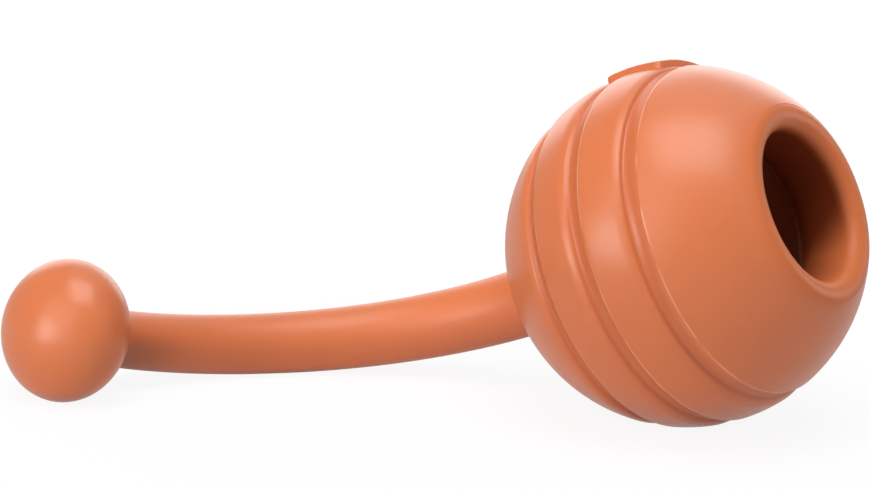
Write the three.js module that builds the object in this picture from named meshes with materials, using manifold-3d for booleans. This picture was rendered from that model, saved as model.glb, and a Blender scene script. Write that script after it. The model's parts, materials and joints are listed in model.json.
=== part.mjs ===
// Tug toy of natural rubber: a hollow ball with a wide mouth, and a curved round strap that ends in a knob.
// Millimetres, +Z up. The toy lies as it comes to rest, on the ball, the belly of the strap and the knob.
// Each piece is drawn in the ball's own frame: +X out of the mouth, the strap leaving along -X towards -Y.
import * as THREE from 'three';
import { mergeVertices } from 'three/addons/utils/BufferGeometryUtils.js';
import Module from 'manifold-3d';

const wasm = await Module();
wasm.setup();

// Ball
const BALL_RADIUS = 35;
const BALL_WALL = 13;
const MOUTH_RADIUS = 14.7;
const LIP_RADIUS = 2.5;
const BOSS_HEIGHT = 3.2;

// Grooves round the ball: the middle one's front lip lies just in front of the equator
const MIDDLE_LIP = 1;
const GROOVE_PITCH = 11.8;
const GROOVE_WIDTH = 5.3;
const GROOVE_DEPTH = 1.1;
const GROOVE_SKEW = 2;

// Bare raised panel on top of the ball: it starts in the middle groove and ends short of the front one
const PANEL_LENGTH = 24;
const PANEL_OVERLAP = 3.8;
const PANEL_MARGIN = 0.8;
const PANEL_RISE = 1.5;
const PANEL_CORNER = 1.5;

// Stopper that holds the strap in the ball
const STEM_RADIUS = 4.5;
const HEAD_RADIUS = 9.5;
const HEAD_HEIGHT = 5;
const COLLAR_LENGTH = 2.3;
const SPIGOT_RADIUS = 3.4;
const SPIGOT_LENGTH = 6.5;

// Strap: its reach runs back from the collar and its sweep runs across, up to the knob's face,
// and each handle is how far one end of the curve pulls straight
const STRAP_ROOT_RADIUS = 7.05;
const STRAP_TIP_RADIUS = 5.65;
const STRAP_REACH = 57;
const STRAP_SWEEP = 66.7;
const ROOT_HANDLE = 37.5;
const TIP_HANDLE = 28.3;
const TIP_TURN = THREE.MathUtils.degToRad(3);

// Knob: a ball flattened along the strap, with a socket for the strap's tip
const KNOB_RADIUS = 13.9;
const KNOB_HALF_LENGTH = 10.8;
const SOCKET_DEPTH = 7;

// Fits, and the flat that the toy's weight presses where it rests
const FIT_GAP = 0.3;
const REST_FLAT = 0.3;

// Fineness of the facets, of the search for the resting attitude, and spread of the ground under it
const BALL_SIDES = 48;
const BAND_STEP = THREE.MathUtils.degToRad(7.5);
const GROOVE_STEPS = 6;
const LIP_STEPS = 7;
const ANCHOR_SIDES = 28;
const HEAD_STEPS = 5;
const STRAP_SIDES = 20;
const STRAP_STEPS = 30;
const KNOB_SIDES = 32;
const KNOB_STEPS = 16;
const CORNER_STEPS = 3;
const SETTLE_PASSES = 40;
const SETTLE_STEPS = 400;
const GROUND_SPREAD = 4;

// Places along the ball's axis
const chamberRadius = BALL_RADIUS - BALL_WALL;
const lipCentre = Math.sqrt((BALL_RADIUS - LIP_RADIUS) ** 2 - (MOUTH_RADIUS + LIP_RADIUS) ** 2);
const throatEnd = Math.sqrt(chamberRadius ** 2 - MOUTH_RADIUS ** 2);
const grooveLips = [MIDDLE_LIP - GROOVE_PITCH, MIDDLE_LIP, MIDDLE_LIP + GROOVE_PITCH];
const ballRear = -Math.sqrt(BALL_RADIUS ** 2 - STRAP_ROOT_RADIUS ** 2);
const bossFace = BOSS_HEIGHT - chamberRadius;
const headRear = bossFace + FIT_GAP;
const collarFront = ballRear - FIT_GAP;
const collarRear = collarFront - COLLAR_LENGTH;
const strapRoot = collarRear - FIT_GAP;

function solidOf(geometry) {
  const bare = geometry.clone();
  bare.deleteAttribute('normal');
  bare.deleteAttribute('uv');
  const merged = mergeVertices(bare);
  return new wasm.Manifold(new wasm.Mesh({
    numProp: 3,
    vertProperties: new Float32Array(merged.attributes.position.array),
    triVerts: new Uint32Array(merged.index.array),
  }));
}

function geometryOf(solid) {
  const { vertProperties, triVerts } = solid.getMesh();
  const geometry = new THREE.BufferGeometry();
  geometry.setAttribute('position', new THREE.BufferAttribute(vertProperties, 3));
  geometry.setIndex(new THREE.BufferAttribute(triVerts, 1));
  geometry.computeVertexNormals();
  return geometry;
}

// A profile of (radius, distance along the axis) points turned round the ball's axis
function turned(profile, sides) {
  return new THREE.LatheGeometry(profile, sides).rotateZ(-Math.PI / 2);
}

// Points of an arc in a profile, at angles measured from the radius towards the mouth
function arc(radius, from, to, steps, centre = new THREE.Vector2()) {
  return Array.from({ length: steps + 1 }, (_, i) => {
    const angle = THREE.MathUtils.lerp(from, to, i / steps);
    return new THREE.Vector2(Math.cos(angle), Math.sin(angle)).multiplyScalar(radius).add(centre);
  });
}

function band(from, to) {
  return arc(BALL_RADIUS, from, to, Math.max(1, Math.round((to - from) / BAND_STEP)));
}

// A groove sinks softly from its rear shoulder and ends at a crisp front lip
function groove(rear, front) {
  return Array.from({ length: GROOVE_STEPS - 1 }, (_, i) => {
    const part = (i + 1) / GROOVE_STEPS;
    const angle = THREE.MathUtils.lerp(rear, front, part);
    const sink = GROOVE_DEPTH * Math.sin(Math.PI * part ** GROOVE_SKEW);
    return new THREE.Vector2(Math.cos(angle), Math.sin(angle)).multiplyScalar(BALL_RADIUS - sink);
  });
}

function ballProfile() {
  const profile = [];
  const grooveTurn = GROOVE_WIDTH / BALL_RADIUS;
  const lipTurn = Math.atan2(lipCentre, MOUTH_RADIUS + LIP_RADIUS);
  let from = Math.atan2(ballRear, STRAP_ROOT_RADIUS);
  for (const lip of grooveLips) {
    const front = Math.asin(lip / BALL_RADIUS);
    const rear = front - grooveTurn;
    profile.push(...band(from, rear), ...groove(rear, front));
    from = front;
  }
  profile.push(...band(from, lipTurn).slice(0, -1));
  const lipPlace = new THREE.Vector2(MOUTH_RADIUS + LIP_RADIUS, lipCentre);
  profile.push(...arc(LIP_RADIUS, lipTurn, Math.PI, LIP_STEPS, lipPlace));
  const chamberFront = Math.asin(throatEnd / chamberRadius);
  const chamberRear = Math.asin(bossFace / chamberRadius);
  const chamberSteps = Math.round((chamberFront - chamberRear) / BAND_STEP);
  profile.push(...arc(chamberRadius, chamberFront, chamberRear, chamberSteps));
  profile.push(new THREE.Vector2(STEM_RADIUS + FIT_GAP, bossFace));
  profile.push(new THREE.Vector2(STEM_RADIUS + FIT_GAP, ballRear));
  profile.push(profile[0].clone());
  return profile;
}

// The panel's outline is drawn from above and rooted half way into the wall, under a skin of its own
function panelSolid() {
  const front = MIDDLE_LIP + GROOVE_PITCH - GROOVE_WIDTH - PANEL_MARGIN;
  const back = MIDDLE_LIP - PANEL_OVERLAP;
  const side = PANEL_LENGTH / 2;
  const corner = Math.min(PANEL_CORNER, (front - back) / 3);
  const outline = new THREE.Shape();
  outline.absarc(front - corner, side - corner, corner, 0, Math.PI / 2);
  outline.absarc(back + corner, side - corner, corner, Math.PI / 2, Math.PI);
  outline.absarc(back + corner, corner - side, corner, Math.PI, Math.PI * 1.5);
  outline.absarc(front - corner, corner - side, corner, Math.PI * 1.5, Math.PI * 2);
  const root = BALL_RADIUS - BALL_WALL / 2;
  const depth = BALL_WALL + PANEL_RISE;
  const upright = { depth, bevelEnabled: false, curveSegments: CORNER_STEPS };
  const block = new THREE.ExtrudeGeometry(outline, upright);
  const skin = new THREE.SphereGeometry(BALL_RADIUS + PANEL_RISE, BALL_SIDES, BALL_SIDES / 2);
  return solidOf(block.translate(0, 0, root)).intersect(solidOf(skin));
}

function anchorProfile() {
  const profile = [
    new THREE.Vector2(0, collarRear - SPIGOT_LENGTH),
    new THREE.Vector2(SPIGOT_RADIUS, collarRear - SPIGOT_LENGTH),
    new THREE.Vector2(SPIGOT_RADIUS, collarRear),
    new THREE.Vector2(STRAP_ROOT_RADIUS, collarRear),
    new THREE.Vector2(STRAP_ROOT_RADIUS, collarFront),
    new THREE.Vector2(STEM_RADIUS, collarFront),
    new THREE.Vector2(STEM_RADIUS, headRear),
  ];
  const dome = arc(1, 0, Math.PI / 2, HEAD_STEPS);
  const headSize = new THREE.Vector2(HEAD_RADIUS, HEAD_HEIGHT);
  profile.push(...dome.map((point) => point.multiply(headSize).add(new THREE.Vector2(0, headRear))));
  profile.at(-1).x = 0;
  return profile;
}

// Centre line of the strap: a curve from its root at the collar, then a straight tip in the knob's socket
const socketRadius = STRAP_TIP_RADIUS + FIT_GAP;
const socketFace = KNOB_HALF_LENGTH * Math.sqrt(1 - (socketRadius / KNOB_RADIUS) ** 2);
const socketFloor = socketFace - SOCKET_DEPTH;
const tipTangent = new THREE.Vector3(Math.sin(TIP_TURN), -Math.cos(TIP_TURN), 0);
const strapStart = new THREE.Vector3(strapRoot, 0, 0);
const bendEnd = new THREE.Vector3(strapRoot - STRAP_REACH, -STRAP_SWEEP, 0);
const strapEnd = bendEnd.clone().addScaledVector(tipTangent, SOCKET_DEPTH - FIT_GAP);
const strapBend = new THREE.CubicBezierCurve3(
  strapStart,
  strapStart.clone().add(new THREE.Vector3(-ROOT_HANDLE, 0, 0)),
  bendEnd.clone().addScaledVector(tipTangent, -TIP_HANDLE),
  bendEnd,
);
const strapLine = new THREE.CurvePath();
strapLine.add(strapBend);
strapLine.add(new THREE.LineCurve3(bendEnd, strapEnd));
const taperEnd = strapBend.getLength() / strapLine.getLength();
const knobCentre = bendEnd.clone().addScaledVector(tipTangent, socketFace);
const acrossStrap = new THREE.Vector3(0, 0, 1);

function strapRadius(part) {
  return THREE.MathUtils.lerp(STRAP_ROOT_RADIUS, STRAP_TIP_RADIUS, Math.min(1, part / taperEnd));
}

// Rings of points along the centre line, closed by a point in the middle of each end
function strapRod() {
  const points = [strapStart.clone()];
  const faces = [];
  for (let i = 0; i <= STRAP_STEPS; i += 1) {
    const part = i / STRAP_STEPS;
    const centre = strapLine.getPointAt(part);
    const side = new THREE.Vector3().crossVectors(acrossStrap, strapLine.getTangentAt(part));
    for (let j = 0; j < STRAP_SIDES; j += 1) {
      const angle = 2 * Math.PI * j / STRAP_SIDES;
      const point = centre.clone().addScaledVector(side, strapRadius(part) * Math.cos(angle));
      points.push(point.addScaledVector(acrossStrap, strapRadius(part) * Math.sin(angle)));
    }
  }
  points.push(strapEnd.clone());
  for (let j = 0; j < STRAP_SIDES; j += 1) {
    const next = (j + 1) % STRAP_SIDES;
    faces.push(0, 1 + next, 1 + j);
    for (let i = 0; i < STRAP_STEPS; i += 1) {
      const ring = 1 + i * STRAP_SIDES;
      const after = ring + STRAP_SIDES;
      faces.push(ring + j, ring + next, after + j, ring + next, after + next, after + j);
    }
    const last = 1 + STRAP_STEPS * STRAP_SIDES;
    faces.push(last + j, last + next, points.length - 1);
  }
  const rod = new THREE.BufferGeometry().setFromPoints(points);
  rod.setIndex(faces);
  return rod;
}

// The strap's root is bored for the stopper's spigot
function spigotSocket() {
  const radius = SPIGOT_RADIUS + FIT_GAP;
  const length = SPIGOT_LENGTH + COLLAR_LENGTH;
  const floor = collarRear - SPIGOT_LENGTH - FIT_GAP;
  const bore = new THREE.CylinderGeometry(radius, radius, length, ANCHOR_SIDES);
  return bore.rotateZ(Math.PI / 2).translate(floor + length / 2, 0, 0);
}

function knobBody() {
  const mouth = Math.asin(socketRadius / KNOB_RADIUS) - Math.PI / 2;
  const shape = arc(1, mouth, Math.PI / 2, KNOB_STEPS);
  const size = new THREE.Vector2(KNOB_RADIUS, KNOB_HALF_LENGTH);
  const profile = [
    new THREE.Vector2(0, -socketFloor),
    new THREE.Vector2(socketRadius, -socketFloor),
    ...shape.map((point) => point.multiply(size)),
  ];
  profile.at(-1).x = 0;
  const turn = new THREE.Quaternion().setFromUnitVectors(new THREE.Vector3(0, 1, 0), tipTangent);
  const body = new THREE.LatheGeometry(profile, KNOB_SIDES).applyQuaternion(turn);
  return body.translate(...knobCentre);
}

// Lowest points of the strap and of the knob when a given direction is up
function strapBelly(up) {
  let lowest = null;
  for (let i = 0; i <= SETTLE_STEPS; i += 1) {
    const part = i / SETTLE_STEPS;
    const tangent = strapLine.getTangentAt(part);
    const down = up.clone().negate().projectOnPlane(tangent).normalize();
    const point = strapLine.getPointAt(part).addScaledVector(down, strapRadius(part));
    if (!lowest || point.dot(up) < lowest.dot(up)) lowest = point;
  }
  return lowest;
}

function knobBottom(up) {
  const along = tipTangent.clone().multiplyScalar(-up.dot(tipTangent));
  const across = up.clone().negate().sub(along);
  const depth = Math.hypot(KNOB_RADIUS * across.length(), KNOB_HALF_LENGTH * along.length());
  return knobCentre.clone()
    .addScaledVector(across, KNOB_RADIUS ** 2 / depth)
    .addScaledVector(along, KNOB_HALF_LENGTH ** 2 / depth);
}

// At rest, up is square to the plane under the ball, the strap and the knob
function settledUp() {
  const up = new THREE.Vector3(BALL_RADIUS, 0, -collarRear).normalize();
  for (let i = 0; i < SETTLE_PASSES; i += 1) {
    const ballBottom = up.clone().multiplyScalar(-BALL_RADIUS);
    const toStrap = strapBelly(up).sub(ballBottom);
    const toKnob = knobBottom(up).sub(ballBottom);
    up.crossVectors(toStrap, toKnob).normalize();
  }
  return up;
}

const up = settledUp();
const forward = new THREE.Vector3(1, 0, 0).projectOnPlane(up).normalize();
const leftward = new THREE.Vector3().crossVectors(up, forward);
const layDown = new THREE.Matrix4().makeBasis(forward, leftward, up).transpose();

// Everything under the resting plane, in the ball's frame
function groundSolid() {
  const spread = GROUND_SPREAD * (BALL_RADIUS + STRAP_REACH + STRAP_SWEEP);
  const depth = BALL_RADIUS;
  const top = REST_FLAT - BALL_RADIUS;
  const slab = new THREE.BoxGeometry(spread, spread, depth).translate(0, 0, top - depth / 2);
  return solidOf(slab.applyMatrix4(layDown.clone().invert()));
}

const ground = groundSolid();
const shell = solidOf(turned(ballProfile(), BALL_SIDES)).add(panelSolid()).subtract(ground);
const rod = solidOf(strapRod()).subtract(solidOf(spigotSocket())).subtract(ground);
const knob = solidOf(knobBody()).subtract(ground);

const laid = new THREE.Group();

function addPiece(name, geometry, colour, roughness) {
  const material = new THREE.MeshStandardMaterial({ color: colour, roughness, metalness: 0 });
  const mesh = new THREE.Mesh(geometry, material);
  mesh.name = name;
  laid.add(mesh);
}

addPiece('ball_shell', geometryOf(shell), '#d9774a', 0.45);
addPiece('strap_anchor', turned(anchorProfile(), ANCHOR_SIDES), '#d5744a', 0.5);
addPiece('strap', geometryOf(rod), '#d9774a', 0.45);
addPiece('grip_knob', geometryOf(knob), '#d87548', 0.42);

// The origin lies on the resting plane, under the middle of the toy
laid.quaternion.setFromRotationMatrix(layDown);
const extent = new THREE.Box3().setFromObject(laid, true);
const middle = extent.getCenter(new THREE.Vector3());
laid.position.set(-middle.x, -middle.y, -extent.min.z);

const toy = new THREE.Group();
toy.add(laid);

export default toy;
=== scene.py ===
import json
import math

import bmesh
import bpy
from mathutils import Matrix, Quaternion, Vector
from mathutils.geometry import interpolate_bezier


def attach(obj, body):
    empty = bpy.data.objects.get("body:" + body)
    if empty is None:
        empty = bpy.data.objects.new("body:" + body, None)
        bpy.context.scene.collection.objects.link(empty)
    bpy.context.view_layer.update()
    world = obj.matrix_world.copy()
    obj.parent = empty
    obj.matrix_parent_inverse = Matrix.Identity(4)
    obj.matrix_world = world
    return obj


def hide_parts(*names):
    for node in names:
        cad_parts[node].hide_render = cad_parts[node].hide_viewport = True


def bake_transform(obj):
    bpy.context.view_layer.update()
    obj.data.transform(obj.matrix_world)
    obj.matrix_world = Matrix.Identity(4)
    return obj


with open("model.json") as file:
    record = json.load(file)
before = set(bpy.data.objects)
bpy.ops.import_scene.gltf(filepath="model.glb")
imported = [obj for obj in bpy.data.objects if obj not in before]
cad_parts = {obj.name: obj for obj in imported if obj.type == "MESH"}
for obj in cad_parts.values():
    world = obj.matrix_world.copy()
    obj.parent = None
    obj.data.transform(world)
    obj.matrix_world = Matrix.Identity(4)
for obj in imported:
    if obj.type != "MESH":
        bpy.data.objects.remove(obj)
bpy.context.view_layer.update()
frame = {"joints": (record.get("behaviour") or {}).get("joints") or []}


# Ball shell
# A hollow ball of natural rubber with a wide round mouth, three grooves round it and a hole behind for the
# stopper's stem. It is moulded in one piece, in a mould whose halves part in the plane of the strap.
BALL_RADIUS = 0.035
BALL_WALL = 0.013
BALL_SIDES = 240
BAND_STEP = math.radians(1.6)
MOUTH_RADIUS = 0.0147
LIP_RADIUS = 0.003
LIP_STEPS = 20
LIP_LINE = 0.00006
THROAT_ROUND = 0.003
THROAT_ROUND_STEPS = 8
CHAMBER_STEPS = 40
BOSS_HEIGHT = 0.0032
STEM_HOLE_RADIUS = 0.0048
REAR_FACE_RADIUS = 0.00705
MIDDLE_LIP = 0.001
GROOVE_PITCH = 0.0118
GROOVE_LIPS = (MIDDLE_LIP - GROOVE_PITCH, MIDDLE_LIP, MIDDLE_LIP + GROOVE_PITCH)
GROOVE_WIDTH = 0.0053
GROOVE_DEPTH = 0.0011
GROOVE_BOTTOM = 0.53
GROOVE_STEP = 0.74
STEP_SHARE = 0.55
STEP_POWER = 4
FRONT_POWER = 1.9
GROOVE_STEPS = 32
STEPS_OFF_LIP = 3
GROOVE_EDGE = 0.00035
GROOVE_EDGE_STEPS = 5
EDGE_STEPS = 3
ON_PLACE = 1e-6
SHARP_ABOVE = math.radians(50)

joints = {joint["name"]: joint for joint in frame["joints"]}
mouth_axis = Vector(joints["strap_twist"]["axis"]).normalized()
panel_axis = Vector(joints["strap_bend"]["axis"]).normalized()
ball_place = Matrix((mouth_axis, panel_axis.cross(mouth_axis), panel_axis)).transposed().to_4x4()
ball_place.translation = Vector(joints["strap_twist"]["pos_m"])

ball_rear = -math.sqrt(BALL_RADIUS**2 - REAR_FACE_RADIUS**2)
chamber_radius = BALL_RADIUS - BALL_WALL
lip_centre = math.sqrt((BALL_RADIUS - LIP_RADIUS) ** 2 - (MOUTH_RADIUS + LIP_RADIUS) ** 2)
throat_end = math.sqrt(chamber_radius**2 - MOUTH_RADIUS**2)
boss_face = BOSS_HEIGHT - chamber_radius


def arc(radius, start, end, steps, centre=(0.0, 0.0)):
    """Points (axial, radial) of an arc, at angles measured from the radius towards the mouth."""
    angles = [start + (end - start) * i / steps for i in range(steps + 1)]
    return [(centre[0] + radius * math.sin(a), centre[1] + radius * math.cos(a)) for a in angles]


def sink(part):
    """A groove's depth from its soft rear shoulder, over a steeper step, to its bottom and crisp front lip."""
    if part > GROOVE_BOTTOM:
        return 1 - ((part - GROOVE_BOTTOM) / (1 - GROOVE_BOTTOM)) ** FRONT_POWER
    down = part / GROOVE_BOTTOM
    still = (1 - down) * GROOVE_STEP / (1 - GROOVE_STEP)
    step = down**STEP_POWER / (down**STEP_POWER + still**STEP_POWER)
    return STEP_SHARE * step + (1 - STEP_SHARE) * (1 - math.cos(math.pi * down)) / 2


def groove(rear, front):
    """Points of one groove between two angles, which stop short of the lip to leave room for its rounding."""
    points = []
    for i in range(1, GROOVE_STEPS - STEPS_OFF_LIP + 1):
        angle = rear + (front - rear) * i / GROOVE_STEPS
        radius = BALL_RADIUS - GROOVE_DEPTH * sink(i / GROOVE_STEPS)
        points.append((radius * math.sin(angle), radius * math.cos(angle)))
    return points


def ball_profile():
    """Half the ball's section, from the rear over the grooves into the mouth and back through the hollow."""
    profile = []
    start = -math.acos(REAR_FACE_RADIUS / BALL_RADIUS)
    for lip in GROOVE_LIPS:
        front = math.asin(lip / BALL_RADIUS)
        rear = front - GROOVE_WIDTH / BALL_RADIUS
        profile += arc(BALL_RADIUS, start, rear, round((rear - start) / BAND_STEP))
        profile += groove(rear, front)
        start = front
    lip_turn = math.atan2(lip_centre, MOUTH_RADIUS + LIP_RADIUS)
    profile += arc(BALL_RADIUS, start, lip_turn, round((lip_turn - start) / BAND_STEP))
    lip_place = (lip_centre - LIP_LINE, MOUTH_RADIUS + LIP_RADIUS)
    profile += arc(LIP_RADIUS, lip_turn, math.pi, LIP_STEPS, lip_place)
    chamber_front = math.asin(throat_end / chamber_radius)
    profile += arc(chamber_radius, chamber_front, math.asin(boss_face / chamber_radius), CHAMBER_STEPS)
    profile += [(boss_face, STEM_HOLE_RADIUS), (ball_rear, STEM_HOLE_RADIUS)]
    return profile


def revolve(profile, sides, closed=False):
    """A profile of (axial, radial) points turned once round the X axis, from the -Y side."""
    bm = bmesh.new()
    points = [bm.verts.new((axial, -radial, 0.0)) for axial, radial in profile]
    ends = points[1:] + points[:1] if closed else points[1:]
    edges = [bm.edges.new(pair) for pair in zip(points, ends)]
    bmesh.ops.spin(bm, geom=points + edges, axis=(1, 0, 0), angle=math.tau, steps=sides, use_merge=True)
    bmesh.ops.remove_doubles(bm, verts=bm.verts, dist=ON_PLACE)
    bmesh.ops.recalc_face_normals(bm, faces=bm.faces)
    return bm


def ring_edges(bm, axial, radial):
    """The edges of the circle that one point of a profile made."""

    def on_ring(vert):
        return abs(vert.co.x - axial) < ON_PLACE and abs(vert.co.yz.length - radial) < ON_PLACE

    return [edge for edge in bm.edges if all(on_ring(vert) for vert in edge.verts)]


def round_over(bm, edges, width, segments=EDGE_STEPS):
    bmesh.ops.bevel(
        bm, geom=edges, offset=width, segments=segments, profile=0.5, affect="EDGES", material=-1
    )


def add_piece(bm, name, place):
    """Lays a mesh that was drawn in its own frame in place, flat where the floor presses it.

    The attribute moulded keeps where each point was drawn.
    """
    moulded = bm.verts.layers.float_vector.new("moulded")
    for vert in bm.verts:
        vert[moulded] = vert.co
    bmesh.ops.transform(bm, matrix=place, verts=bm.verts)
    for vert in bm.verts:
        vert.co.z = max(vert.co.z, 0.0)
    mesh = bpy.data.meshes.new(name)
    bm.to_mesh(mesh)
    bm.free()
    mesh.shade_smooth()
    mesh.set_sharp_from_angle(angle=SHARP_ABOVE)
    piece = bpy.data.objects.new(name, mesh)
    bpy.context.scene.collection.objects.link(piece)
    return piece


ball_mesh = revolve(ball_profile(), BALL_SIDES, closed=True)
for lip in GROOVE_LIPS:
    lip_ring = ring_edges(ball_mesh, lip, math.sqrt(BALL_RADIUS**2 - lip**2))
    round_over(ball_mesh, lip_ring, GROOVE_EDGE, GROOVE_EDGE_STEPS)
round_over(ball_mesh, ring_edges(ball_mesh, throat_end, MOUTH_RADIUS), THROAT_ROUND, THROAT_ROUND_STEPS)
ball = add_piece(ball_mesh, "ball", ball_place)

# The rubber's skin, which all the pieces share
CLOUD_SCALE = 70.0
CLOUD_DETAIL = 3.0
CLOUD_ROUGHNESS = 0.55
CLOUD_DEPTH = 0.12
SPECK_SCALE = 130.0
SPECK_SIZE = (0.012, 0.028)
SPECK_SHARE = (0.9, 0.7)
SPECK_COLOUR = (0.10, 0.03, 0.015, 1.0)
GRAIN_SCALE = 900.0
GRAIN_DETAIL = 3.0
GRAIN_ROUGHNESS = 0.6
GRAIN_STRENGTH = 0.12
GRAIN_HEIGHT = 0.00005
POLISH_SPREAD = 0.10


def add_node(tree, kind, **settings):
    made = tree.nodes.new("ShaderNode" + kind)
    for key, value in settings.items():
        setattr(made, key, value)
    return made


def feed(socket, value):
    """Links an input to the output of another node, or sets it to a plain value."""
    if isinstance(value, bpy.types.NodeSocket):
        socket.id_data.links.new(value, socket)
    else:
        socket.default_value = value


def set_inputs(made, **values):
    for key, value in values.items():
        feed(made.inputs[key.replace("_", " ")], value)


def calc(tree, operation, *values, kind="Math", result="Value"):
    """The result of a Math node, or of a node like it, on sockets and plain values."""
    made = add_node(tree, kind, operation=operation)
    for socket, value in zip(made.inputs, values):
        feed(socket, value)
    return made.outputs[result]


def fade(tree, value, full, none):
    """A mask that is 1 where a value is at its full end and 0 at the other."""
    ramp = add_node(tree, "MapRange", interpolation_type="SMOOTHSTEP")
    set_inputs(ramp, Value=value, From_Min=full, From_Max=none, To_Min=1.0, To_Max=0.0)
    return ramp.outputs["Result"]


def rubber_skin():
    """Node group for the skin of moulded natural rubber: cloudy colour, fine grain and a few dust specks."""
    tree = bpy.data.node_groups.new("rubber_skin", "ShaderNodeTree")
    tree.interface.new_socket("Colour", in_out="INPUT", socket_type="NodeSocketColor")
    for name in ("Cloud", "Polish", "Specks"):
        tree.interface.new_socket(name, in_out="INPUT", socket_type="NodeSocketFloat")
    tree.interface.new_socket("Colour", in_out="OUTPUT", socket_type="NodeSocketColor")
    for name in ("Roughness", "Height"):
        tree.interface.new_socket(name, in_out="OUTPUT", socket_type="NodeSocketFloat")
    given = tree.nodes.new("NodeGroupInput").outputs
    place = add_node(tree, "TexCoord").outputs["Object"]

    clouds = add_node(tree, "TexNoise")
    set_inputs(clouds, Vector=place, Scale=CLOUD_SCALE, Detail=CLOUD_DETAIL, Roughness=CLOUD_ROUGHNESS)
    cloud = calc(tree, "SUBTRACT", clouds.outputs["Fac"], 0.5)
    tint = add_node(tree, "HueSaturation")
    set_inputs(tint, Color=given["Colour"], Value=calc(tree, "MULTIPLY_ADD", cloud, given["Cloud"], 1.0))

    cells = add_node(tree, "TexVoronoi")
    set_inputs(cells, Vector=place, Scale=SPECK_SCALE)
    draw = add_node(tree, "SeparateColor")
    set_inputs(draw, Color=cells.outputs["Color"])
    chosen = fade(tree, draw.outputs["Red"], *SPECK_SHARE)
    speck = calc(tree, "MULTIPLY", fade(tree, cells.outputs["Distance"], *SPECK_SIZE), chosen)
    dust = calc(tree, "MULTIPLY", speck, given["Specks"])
    dusted = add_node(tree, "Mix", data_type="RGBA")
    set_inputs(dusted, Factor=dust, A=tint.outputs["Color"], B=SPECK_COLOUR)

    grain = add_node(tree, "TexNoise")
    set_inputs(grain, Vector=place, Scale=GRAIN_SCALE, Detail=GRAIN_DETAIL, Roughness=GRAIN_ROUGHNESS)
    roughness = calc(tree, "MULTIPLY_ADD", cloud, POLISH_SPREAD, given["Polish"])
    outputs = tree.nodes.new("NodeGroupOutput")
    set_inputs(outputs, Colour=dusted.outputs["Result"], Roughness=roughness, Height=grain.outputs["Fac"])
    return tree


skin = rubber_skin()


def rubber(name, colour, polish, specks):
    """Material of one rubber piece: the shared skin on a satin surface."""
    material = bpy.data.materials.new(name)
    material.use_nodes = True
    tree = material.node_tree
    tree.nodes.clear()
    look = add_node(tree, "Group", node_tree=skin)
    set_inputs(look, Colour=colour, Cloud=CLOUD_DEPTH, Polish=polish, Specks=specks)
    bump = add_node(tree, "Bump")
    set_inputs(bump, Height=look.outputs["Height"], Strength=GRAIN_STRENGTH, Distance=GRAIN_HEIGHT)
    surface = add_node(tree, "BsdfPrincipled")
    set_inputs(surface, Base_Color=look.outputs["Colour"], Roughness=look.outputs["Roughness"])
    set_inputs(surface, Normal=bump.outputs["Normal"])
    output = add_node(tree, "OutputMaterial")
    set_inputs(output, Surface=surface.outputs["BSDF"])
    return material


def surface_of(tree):
    return next(made for made in tree.nodes if made.type == "BSDF_PRINCIPLED")


def mix_over(tree, mask, colour):
    """Lays a colour over the base colour of a material where a mask is 1."""
    base = surface_of(tree).inputs["Base Color"]
    mix = add_node(tree, "Mix", data_type="RGBA")
    set_inputs(mix, Factor=mask, A=base.links[0].from_socket, B=colour)
    feed(base, mix.outputs["Result"])


# The ball's colours and marks, where each pair of distances says where a mark is full and where it ends
BALL_COLOUR = (0.75, 0.197, 0.067, 1.0)
BALL_POLISH = 0.32
BALL_SPECKS = 0.5
PATCH_SCALE = 160.0
PATCH_DETAIL = 1.0
SEAM_COLOUR = (0.64, 0.165, 0.058, 1.0)
SEAM_WIDTH = (0.00003, 0.00012)
SEAM_PATCHES = (0.72, 0.46)
# Painted shade darkens the groove bottoms, as far as the front groove
VALLEY_SHADE_COLOUR = (0.66, 0.165, 0.053, 1.0)
VALLEY_SHADE_REACH = (0.0340, 0.0348)
VALLEY_SHADE_END = (0.0130, 0.0138)
# Painted highlights: pale lines along the groove lips, in patches, kept off the panel's top
LIP_HIGHLIGHT_COLOUR = (0.88, 0.36, 0.20, 1.0)
LIP_HIGHLIGHT_WIDTH = (0.00006, 0.00020)
LIP_HIGHLIGHT_PATCHES = (0.36, 0.62)
LIP_HIGHLIGHT_REACH = (0.0351, 0.0353)
# Painted shade darkens the mouth's inside from the lip in, and a painted shadow of the upper lip slants across the
# throat, leaving its lower side lit
INSIDE_SHADE_COLOUR = (0.20, 0.038, 0.012, 1.0)
INSIDE_SHADE_REACH = (0.0193, 0.0323)
THROAT_SHADOW_REACH = (0.0295, 0.0330)
THROAT_SHADOW_SLANT = 0.8
THROAT_SHADE = (-0.0165, -0.0305)
# The hollow behind the throat is painted paler than the painted shade round it, which lightens the deep inside:
# painted light
HOLLOW_LIGHTENING_COLOUR = (0.50, 0.20, 0.10, 1.0)
HOLLOW_LIGHTENING_REACH = (0.0221, 0.0227)
LIP_REACH = (0.0190, 0.0220)
LIP_SIDE = (0.02, 0.01)
LIP_DULLING = 0.7
SHEEN = 0.5
INSIDE_SHEEN = 0.06


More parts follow.
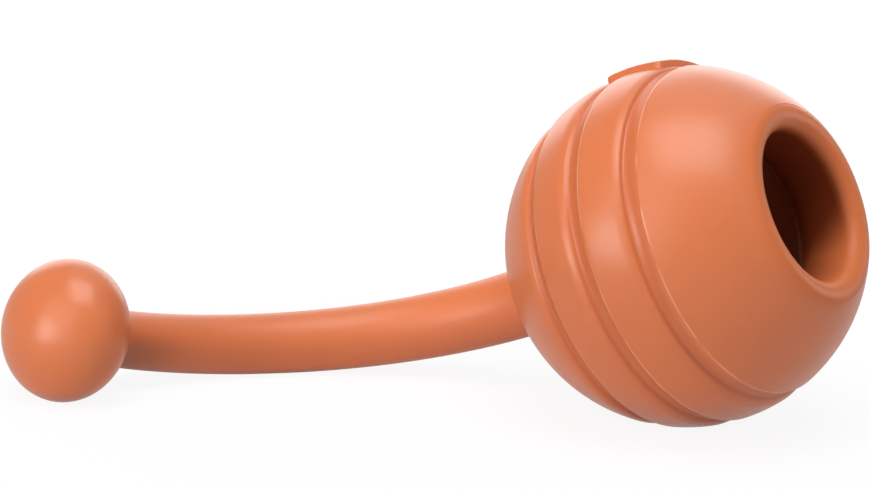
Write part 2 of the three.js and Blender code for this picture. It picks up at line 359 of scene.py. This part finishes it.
def shade_ball(tree):
    """A mould seam, painted shade in the groove bottoms and inside the mouth, a painted shadow across the throat,
    painted highlights on the groove lips, a paler painted hollow and a duller sheen in the mouth.
    """
    drawn = add_node(tree, "Attribute", attribute_name="moulded").outputs["Vector"]
    apart = add_node(tree, "SeparateXYZ")
    set_inputs(apart, Vector=drawn)
    axial, above_seam = apart.outputs["X"], apart.outputs["Z"]
    off_centre = calc(tree, "LENGTH", drawn, kind="VectorMath")
    across = calc(tree, "CROSS_PRODUCT", drawn, (1.0, 0.0, 0.0), kind="VectorMath", result="Vector")
    off_axis = calc(tree, "LENGTH", across, kind="VectorMath")
    noise = add_node(tree, "TexNoise")
    set_inputs(noise, Vector=drawn, Scale=PATCH_SCALE, Detail=PATCH_DETAIL)
    patches = noise.outputs["Fac"]

    near_seam = fade(tree, calc(tree, "ABSOLUTE", above_seam), *SEAM_WIDTH)
    mix_over(tree, calc(tree, "MULTIPLY", near_seam, fade(tree, patches, *SEAM_PATCHES)), SEAM_COLOUR)
    # Painted shade in the groove bottoms
    valley_shade = fade(tree, off_centre, *VALLEY_SHADE_REACH)
    mix_over(tree, calc(tree, "MULTIPLY", valley_shade, fade(tree, axial, *VALLEY_SHADE_END)), VALLEY_SHADE_COLOUR)
    # Painted highlights along the groove lips
    lip_highlight = calc(tree, "MULTIPLY", fade(tree, patches, *LIP_HIGHLIGHT_PATCHES), fade(tree, off_centre, *LIP_HIGHLIGHT_REACH))
    for lip in GROOVE_LIPS:
        off_lip = calc(tree, "ABSOLUTE", calc(tree, "SUBTRACT", axial, lip))
        mix_over(tree, calc(tree, "MULTIPLY", fade(tree, off_lip, *LIP_HIGHLIGHT_WIDTH), lip_highlight), LIP_HIGHLIGHT_COLOUR)

    # Painted shadow across the throat, and painted shade inside the mouth, which also dulls the sheen there
    slanted = calc(tree, "MULTIPLY_ADD", axial, -THROAT_SHADOW_SLANT, above_seam)
    shaded = fade(tree, slanted, *THROAT_SHADE)
    throat_shadow = calc(tree, "MULTIPLY", fade(tree, off_centre, *THROAT_SHADOW_REACH), shaded)
    inside_shade = calc(tree, "MAXIMUM", fade(tree, off_centre, *INSIDE_SHADE_REACH), throat_shadow)
    mix_over(tree, inside_shade, INSIDE_SHADE_COLOUR)
    # Painted light: a paler hollow over the painted shade
    mix_over(tree, fade(tree, off_centre, *HOLLOW_LIGHTENING_REACH), HOLLOW_LIGHTENING_COLOUR)

    mouth_side = calc(tree, "MULTIPLY", fade(tree, axial, *LIP_SIDE), LIP_DULLING)
    mouth_lip = calc(tree, "MULTIPLY", fade(tree, off_axis, *LIP_REACH), mouth_side)
    sheen = add_node(tree, "MapRange")
    set_inputs(sheen, Value=calc(tree, "MAXIMUM", inside_shade, mouth_lip), To_Min=SHEEN, To_Max=INSIDE_SHEEN)
    set_inputs(surface_of(tree), Specular_IOR_Level=sheen.outputs["Result"])


ball_rubber = rubber("ball_rubber", BALL_COLOUR, BALL_POLISH, BALL_SPECKS)
shade_ball(ball_rubber.node_tree)
ball.data.materials.append(ball_rubber)
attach(ball, "ball")
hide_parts("ball_shell")


# Panel on the ball
# A bare raised pad moulded on the ball's upper side, from inside the middle groove to just inside the front one.
# It is of one piece with the ball, and its skin follows the ball's round.
PANEL_LENGTH = 0.025
PANEL_OVERLAP = 0.0050
PANEL_REACH = 0.0015
PANEL_RISE = 0.0012
PANEL_CORNER = 0.0015
PANEL_EDGE = 0.0003
PANEL_ROOT = 0.0016
PANEL_CUTS = 16
CORNER_SEGMENTS = 6
RIM_ANGLE = 1.0

panel_back = GROOVE_LIPS[1] - PANEL_OVERLAP
panel_front = GROOVE_LIPS[2] - GROOVE_WIDTH + PANEL_REACH

panel_mesh = bmesh.new()
bmesh.ops.create_grid(panel_mesh, x_segments=1, y_segments=1, size=0.5)
bmesh.ops.scale(panel_mesh, vec=(panel_front - panel_back, PANEL_LENGTH, 1), verts=panel_mesh.verts)
bmesh.ops.translate(panel_mesh, vec=((panel_front + panel_back) / 2, 0, 0), verts=panel_mesh.verts)
bmesh.ops.bevel(
    panel_mesh,
    geom=panel_mesh.verts[:],
    offset=PANEL_CORNER,
    segments=CORNER_SEGMENTS,
    profile=0.5,
    affect="VERTICES",
    material=-1,
)
panel_skin = bmesh.ops.extrude_face_region(panel_mesh, geom=panel_mesh.faces[:])["geom"]
panel_top = [item for item in panel_skin if isinstance(item, bmesh.types.BMVert)]
bmesh.ops.translate(panel_mesh, vec=(0, 0, PANEL_ROOT + PANEL_RISE), verts=panel_top)
bmesh.ops.recalc_face_normals(panel_mesh, faces=panel_mesh.faces)
# Cuts both ways let the flat pad take the ball's round
for axis, half in ((Vector((1, 0, 0)), panel_front), (Vector((0, 1, 0)), PANEL_LENGTH / 2)):
    for i in range(1, PANEL_CUTS):
        place = axis * half * (2 * i / PANEL_CUTS - 1)
        whole = panel_mesh.verts[:] + panel_mesh.edges[:] + panel_mesh.faces[:]
        bmesh.ops.bisect_plane(panel_mesh, geom=whole, plane_co=place, plane_no=axis)
rim = [
    edge
    for edge in panel_mesh.edges
    if all(vert.co.z > PANEL_ROOT for vert in edge.verts) and edge.calc_face_angle(0) > RIM_ANGLE
]
round_over(panel_mesh, rim, PANEL_EDGE)
for vert in panel_mesh.verts:
    radius = BALL_RADIUS - PANEL_ROOT + vert.co.z
    vert.co.z = math.sqrt(radius**2 - vert.co.xy.length_squared)
panel = add_piece(panel_mesh, "ball_panel", ball_place)
panel.data.materials.append(ball_rubber)
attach(panel, "ball")


# Stopper
# The plug that holds the strap: a mushroom head inside the ball, a stem through its rear wall, a collar that
# flares on to the ball outside, and a spigot that is bonded into the strap's root. It is moulded in rubber.
FIT_GAP = 0.0003
STEM_RADIUS = 0.0045
HEAD_RADIUS = 0.0095
HEAD_HEIGHT = 0.005
HEAD_STEPS = 16
COLLAR_LENGTH = 0.0023
COLLAR_RADIUS = REAR_FACE_RADIUS
COLLAR_FLARE = 0.0006
COLLAR_EDGE = 0.0002
FLARE_STEPS = 8
FLARE_GAP = 0.00004
SPIGOT_RADIUS = 0.0034
SPIGOT_LENGTH = 0.0065
STOPPER_SIDES = 96
STOPPER_COLOUR = (0.73, 0.192, 0.066, 1.0)
STOPPER_POLISH = 0.36
STOPPER_SPECKS = 0.3

head_rear = boss_face + FIT_GAP
collar_front = ball_rear - FIT_GAP
collar_rear = collar_front - COLLAR_LENGTH


def flare():
    """The collar's front end opens on to the ball in a small hollow round."""
    points = []
    for i in range(FLARE_STEPS + 1):
        turn = math.pi / 2 * i / FLARE_STEPS
        radial = COLLAR_RADIUS + COLLAR_FLARE * (1 - math.cos(turn))
        on_ball = -math.sqrt((BALL_RADIUS + FLARE_GAP) ** 2 - radial**2)
        points.append((on_ball - COLLAR_FLARE * (1 - math.sin(turn)), radial))
    return points


stopper_profile = [
    (collar_rear - SPIGOT_LENGTH, 0.0),
    (collar_rear - SPIGOT_LENGTH, SPIGOT_RADIUS),
    (collar_rear, SPIGOT_RADIUS),
    (collar_rear, COLLAR_RADIUS),
    *flare(),
    (collar_front, COLLAR_RADIUS),
    (collar_front, STEM_RADIUS),
    (head_rear, STEM_RADIUS),
]
for axial, radial in arc(1.0, 0.0, math.pi / 2, HEAD_STEPS):
    stopper_profile.append((head_rear + HEAD_HEIGHT * axial, HEAD_RADIUS * radial))
stopper_profile[-1] = (head_rear + HEAD_HEIGHT, 0.0)
stopper_mesh = revolve(stopper_profile, STOPPER_SIDES)
round_over(stopper_mesh, ring_edges(stopper_mesh, collar_rear, COLLAR_RADIUS), COLLAR_EDGE)
stopper = add_piece(stopper_mesh, "stopper", ball_place)
stopper.data.materials.append(rubber("stopper_rubber", STOPPER_COLOUR, STOPPER_POLISH, STOPPER_SPECKS))
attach(stopper, "anchor")
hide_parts("strap_anchor")


# Strap
# A round rod of natural rubber that tapers from the stopper's collar to the knob and keeps the curve it was
# moulded in. It is drawn in two lengths, one by the ball and one by the knob, and the length by the knob has
# painted shade on its lower side, where the knob shades it.
STRAP_ROOT_RADIUS = COLLAR_RADIUS
STRAP_TIP_RADIUS = 0.00565
STRAP_REACH = 0.057
STRAP_SWEEP = 0.0667
ROOT_HANDLE = 0.0375
TIP_HANDLE = 0.0283
TIP_TURN = math.radians(3)
TIP_IN_SOCKET = 0.0067
ROOT_JOINT = 0.00005
ROOT_EDGE = 0.00025
STRAP_RINGS = 120
STRAP_SIDES = 72
MEETING_RING = 58
STRAP_COLOUR = (0.775, 0.208, 0.073, 1.0)
STRAP_POLISH = 0.42
STRAP_SPECKS = 0.3
# Painted shade on the strap's lower side next to the knob, where the knob shades it
KNOB_SHADOW_COLOUR = (0.48, 0.135, 0.055, 1.0)
KNOB_SHADOW_REACH = (-0.064, -0.046)
KNOB_SHADOW_HEIGHT = (-0.0035, 0.001)

strap_root = Vector((collar_rear - ROOT_JOINT, 0, 0))
tip_tangent = Vector((math.sin(TIP_TURN), -math.cos(TIP_TURN), 0))
strap_bend_end = Vector((collar_rear - FIT_GAP - STRAP_REACH, -STRAP_SWEEP, 0))
strap_line = interpolate_bezier(
    strap_root,
    strap_root + Vector((-ROOT_HANDLE, 0, 0)),
    strap_bend_end - tip_tangent * TIP_HANDLE,
    strap_bend_end,
    STRAP_RINGS,
)
strap_tangents = [(b - a).normalized() for a, b in zip(strap_line, strap_line[2:])]
strap_tangents = [Vector((-1, 0, 0)), *strap_tangents, tip_tangent]
lengths = [0.0]
for a, b in zip(strap_line, strap_line[1:]):
    lengths.append(lengths[-1] + (b - a).length)


def ring_place(point, tangent, radius):
    """Where a circle of radius 1 goes, square to the strap's line and as wide as the strap is there."""
    across = Vector((0, 0, 1))
    turn = Matrix((across.cross(tangent), across, tangent)).transposed().to_4x4()
    return Matrix.Translation(point) @ turn @ Matrix.Diagonal((radius, radius, 1, 1))


strap_places = []
for point, tangent, length in zip(strap_line, strap_tangents, lengths):
    radius = STRAP_ROOT_RADIUS + (STRAP_TIP_RADIUS - STRAP_ROOT_RADIUS) * length / lengths[-1]
    strap_places.append(ring_place(point, tangent, radius))
strap_tip = ring_place(strap_bend_end + tip_tangent * TIP_IN_SOCKET, tip_tangent, STRAP_TIP_RADIUS)


def sweep(places, edge=0.0):
    """A rod drawn ring by ring through a row of places, closed at both ends, with a rounded first edge."""
    bm = bmesh.new()
    bmesh.ops.create_circle(bm, cap_ends=True, segments=STRAP_SIDES, radius=1, matrix=places[0])
    ring = bm.edges[:]
    for before, place in zip(places, places[1:]):
        grown = bmesh.ops.extrude_edge_only(bm, edges=ring)["geom"]
        verts = [item for item in grown if isinstance(item, bmesh.types.BMVert)]
        ring = [item for item in grown if isinstance(item, bmesh.types.BMEdge)]
        ring = [item for item in ring if all(vert in verts for vert in item.verts)]
        bmesh.ops.transform(bm, matrix=place @ before.inverted(), verts=verts)
    bmesh.ops.edgeloop_fill(bm, edges=ring)
    bmesh.ops.recalc_face_normals(bm, faces=bm.faces)
    if edge:
        first = min(bm.faces, key=lambda face: (face.calc_center_median() - places[0].translation).length)
        round_over(bm, first.edges[:], edge)
    return bm


def paint_knob_shadow(tree):
    """Painted shade on the strap's lower side, next to the knob, where the knob shades it."""
    apart = add_node(tree, "SeparateXYZ")
    set_inputs(apart, Vector=add_node(tree, "Attribute", attribute_name="moulded").outputs["Vector"])
    by_knob = fade(tree, apart.outputs["Y"], *KNOB_SHADOW_REACH)
    below = fade(tree, apart.outputs["Z"], *KNOB_SHADOW_HEIGHT)
    mix_over(tree, calc(tree, "MULTIPLY", by_knob, below), KNOB_SHADOW_COLOUR)


strap_rubber = rubber("strap_rubber", STRAP_COLOUR, STRAP_POLISH, STRAP_SPECKS)
paint_knob_shadow(strap_rubber.node_tree)
root_mesh = sweep(strap_places[: MEETING_RING + 1], ROOT_EDGE)
strap_by_ball = add_piece(root_mesh, "strap_by_ball", ball_place)
tip_mesh = sweep([*strap_places[MEETING_RING:], strap_tip])
strap_by_knob = add_piece(tip_mesh, "strap_by_knob", ball_place)
for length in (strap_by_ball, strap_by_knob):
    length.data.materials.append(strap_rubber)
    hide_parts("strap")
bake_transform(strap_by_ball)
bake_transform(strap_by_knob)


# Grip knob
# A solid rubber ball, flattened along the strap, that stops the hand from slipping off. The strap's tip is
# bonded into a socket in its near face.
KNOB_RADIUS = 0.0139
KNOB_HALF_LENGTH = 0.0108
KNOB_STEPS = 72
KNOB_SIDES = 128
SOCKET_DEPTH = 0.007
SOCKET_GAP = 0.00008
SOCKET_EDGE = 0.0003
KNOB_COLOUR = (0.75, 0.197, 0.067, 1.0)
KNOB_POLISH = 0.30
KNOB_SPECKS = 0.5

socket_radius = STRAP_TIP_RADIUS + SOCKET_GAP
socket_mouth = math.asin(socket_radius / KNOB_RADIUS) - math.pi / 2
knob_centre = strap_bend_end + tip_tangent * KNOB_HALF_LENGTH * math.sqrt(1 - (socket_radius / KNOB_RADIUS) ** 2)
knob_outline = [
    (KNOB_HALF_LENGTH * axial, KNOB_RADIUS * radial)
    for axial, radial in arc(1.0, socket_mouth, math.pi / 2, KNOB_STEPS)
]
knob_outline[-1] = (KNOB_HALF_LENGTH, 0.0)
socket_floor = knob_outline[0][0] + SOCKET_DEPTH
knob_mesh = revolve([(socket_floor, 0.0), (socket_floor, socket_radius), *knob_outline], KNOB_SIDES)
round_over(knob_mesh, ring_edges(knob_mesh, *knob_outline[0]), SOCKET_EDGE)
across_knob = Vector((0, 0, 1))
knob_turn = Matrix((tip_tangent, across_knob.cross(tip_tangent), across_knob)).transposed().to_4x4()
knob = add_piece(knob_mesh, "knob", ball_place @ Matrix.Translation(knob_centre) @ knob_turn)
knob.data.materials.append(rubber("knob_rubber", KNOB_COLOUR, KNOB_POLISH, KNOB_SPECKS))
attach(knob, "knob")
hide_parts("grip_knob")


# Studio
# A white table that runs back out of sight, with a bright backdrop and two white boards that show in the toy's
# rims. Soft lights hang overhead and behind, two stand at the left, and weaker ones are in front and at the right.
FLOOR_HALF_SIZE = 6.0
FLOOR_COLOUR = (0.68, 0.68, 0.68, 1.0)
FLOOR_GLOW = 1.06
FLOOR_IN_SHEEN = 0.75
SHADOW_REACH = (0.06, 0.20)
SHADOW_CLEARING = (0.86, 1.0)
WHITE = (1.0, 1.0, 1.0, 1.0)
SURROUND_LIGHT = 0.03
SURROUND_IN_SHEEN = 0.5
BRIGHT_PATCHES = {
    "backdrop": {"towards": (-0.575, 0.797, -0.187), "edge": (0.77, 0.92), "strength": 1.3},
    "left_board": {"towards": (-0.708, 0.603, 0.367), "edge": (0.91, 0.975), "strength": 2.2},
    "right_board": {"towards": (-0.315, 0.904, 0.288), "edge": (0.93, 0.983), "strength": 2.4},
}
LIGHT_AIM = Vector((0, 0, 0.03))
LIGHTS = {
    "top_light": {"place": (0.13, -0.19, 0.95), "size": 0.65, "power": 5.4},
    "front_light": {"place": (0.45, -0.70, 0.75), "size": 1.6, "power": 1.6},
    "top_back_light": {"place": (-0.14, 0.46, 0.85), "size": 0.8, "power": 1.15},
    "left_light": {"place": (-0.06, -0.92, 0.43), "size": 0.9, "power": 3.5},
    "low_left_light": {"place": (-0.26, -0.86, 0.14), "size": 0.38, "power": 2.0},
    "right_light": {"place": (0.80, 0.10, 0.45), "size": 0.8, "power": 0.7},
    "low_right_light": {"place": (0.52, 0.62, 0.14), "size": 0.3, "power": 0.6},
}


def floor_material():
    """White table top: it lights the toy as plain white paper, and shows white but for the toy's soft shadow."""
    material = bpy.data.materials.new("table_white")
    material.use_nodes = True
    tree = material.node_tree
    tree.nodes.clear()
    paper = add_node(tree, "BsdfDiffuse")
    set_inputs(paper, Color=FLOOR_COLOUR)
    rays = add_node(tree, "LightPath").outputs
    dimming = add_node(tree, "MapRange")
    set_inputs(dimming, Value=rays["Is Glossy Ray"], To_Min=FLOOR_GLOW, To_Max=FLOOR_IN_SHEEN)
    glow = add_node(tree, "Emission")
    set_inputs(glow, Color=WHITE, Strength=dimming.outputs["Result"])

    far = calc(tree, "LENGTH", add_node(tree, "TexCoord").outputs["Object"], kind="VectorMath")
    clearing = add_node(tree, "MapRange", interpolation_type="SMOOTHSTEP")
    set_inputs(clearing, Value=far, From_Min=SHADOW_REACH[0], From_Max=SHADOW_REACH[1])
    set_inputs(clearing, To_Min=SHADOW_CLEARING[0], To_Max=SHADOW_CLEARING[1])
    in_sheen = calc(tree, "MAXIMUM", rays["Is Glossy Ray"], rays["Is Transmission Ray"])
    seen = calc(tree, "MAXIMUM", rays["Is Camera Ray"], in_sheen)
    glowing = calc(tree, "MULTIPLY", clearing.outputs["Result"], seen)
    mix = add_node(tree, "MixShader")
    for socket, value in zip(mix.inputs, (glowing, paper.outputs["BSDF"], glow.outputs["Emission"])):
        feed(socket, value)
    output = add_node(tree, "OutputMaterial")
    set_inputs(output, Surface=mix.outputs["Shader"])
    return material


def bright_patch(tree, way, towards, edge, strength):
    """A patch of the surround that is brighter than the rest, with a soft edge."""
    facing = calc(tree, "DOT_PRODUCT", way, towards, kind="VectorMath")
    patch = add_node(tree, "MapRange", interpolation_type="SMOOTHSTEP")
    set_inputs(patch, Value=facing, From_Min=edge[0], From_Max=edge[1])
    set_inputs(patch, To_Min=SURROUND_IN_SHEEN, To_Max=strength)
    return patch.outputs["Result"]


def white_surround():
    """A world that is white to the camera, dim but for its patches in the toy's sheen, and gives little light."""
    world = bpy.data.worlds.new("white_surround")
    world.use_nodes = True
    tree = world.node_tree
    tree.nodes.clear()
    way = add_node(tree, "TexCoord").outputs["Generated"]
    wall = SURROUND_IN_SHEEN
    for patch in BRIGHT_PATCHES.values():
        wall = calc(tree, "MAXIMUM", bright_patch(tree, way, **patch), wall)
    rays = add_node(tree, "LightPath").outputs
    in_sheen = calc(tree, "MAXIMUM", rays["Is Glossy Ray"], rays["Is Transmission Ray"])
    shown = calc(tree, "MAXIMUM", calc(tree, "MULTIPLY", wall, in_sheen), rays["Is Camera Ray"])
    surround = add_node(tree, "Background")
    set_inputs(surround, Color=WHITE, Strength=calc(tree, "MAXIMUM", shown, SURROUND_LIGHT))
    output = add_node(tree, "OutputWorld")
    set_inputs(output, Surface=surround.outputs["Background"])
    return world


floor_mesh = bmesh.new()
bmesh.ops.create_grid(floor_mesh, x_segments=1, y_segments=1, size=FLOOR_HALF_SIZE)
floor = add_piece(floor_mesh, "floor", Matrix.Identity(4))
floor.data.materials.append(floor_material())
bpy.context.scene.world = white_surround()

for name, lamp in LIGHTS.items():
    light = bpy.data.lights.new(name, "AREA")
    light.shape = "SQUARE"
    light.size = lamp["size"]
    light.energy = lamp["power"]
    holder = bpy.data.objects.new(name, light)
    holder.location = lamp["place"]
    holder.rotation_euler = (LIGHT_AIM - holder.location).to_track_quat("-Z", "Y").to_euler()
    bpy.context.scene.collection.objects.link(holder)


# Camera
# Low in front of the toy and to the right, so that the ball's mouth looks past it and the knob comes nearest.
VIEW_CENTRE = Vector((-0.00282, -0.0038, 0.03277))
VIEW_AZIMUTH = math.radians(35.826)
VIEW_ELEVATION = math.radians(10.774)
VIEW_ROLL = math.radians(2.68)
VIEW_DISTANCE = 0.48372
LENS = 103.45
SENSOR = 36.0
NEAREST_SEEN = 0.01

back = Vector(
    (
        math.sin(VIEW_AZIMUTH) * math.cos(VIEW_ELEVATION),
        -math.cos(VIEW_AZIMUTH) * math.cos(VIEW_ELEVATION),
        math.sin(VIEW_ELEVATION),
    )
)
camera = bpy.data.objects.new("camera", bpy.data.cameras.new("camera"))
camera.data.lens = LENS
camera.data.sensor_width = SENSOR
camera.data.clip_start = NEAREST_SEEN
camera.rotation_mode = "QUATERNION"
camera.location = VIEW_CENTRE + back * VIEW_DISTANCE
camera.rotation_quaternion = (-back).to_track_quat("-Z", "Y") @ Quaternion((0, 0, 1), VIEW_ROLL)
bpy.context.scene.collection.objects.link(camera)
bpy.context.scene.camera = camera
bpy.context.scene.view_settings.view_transform = "Standard"
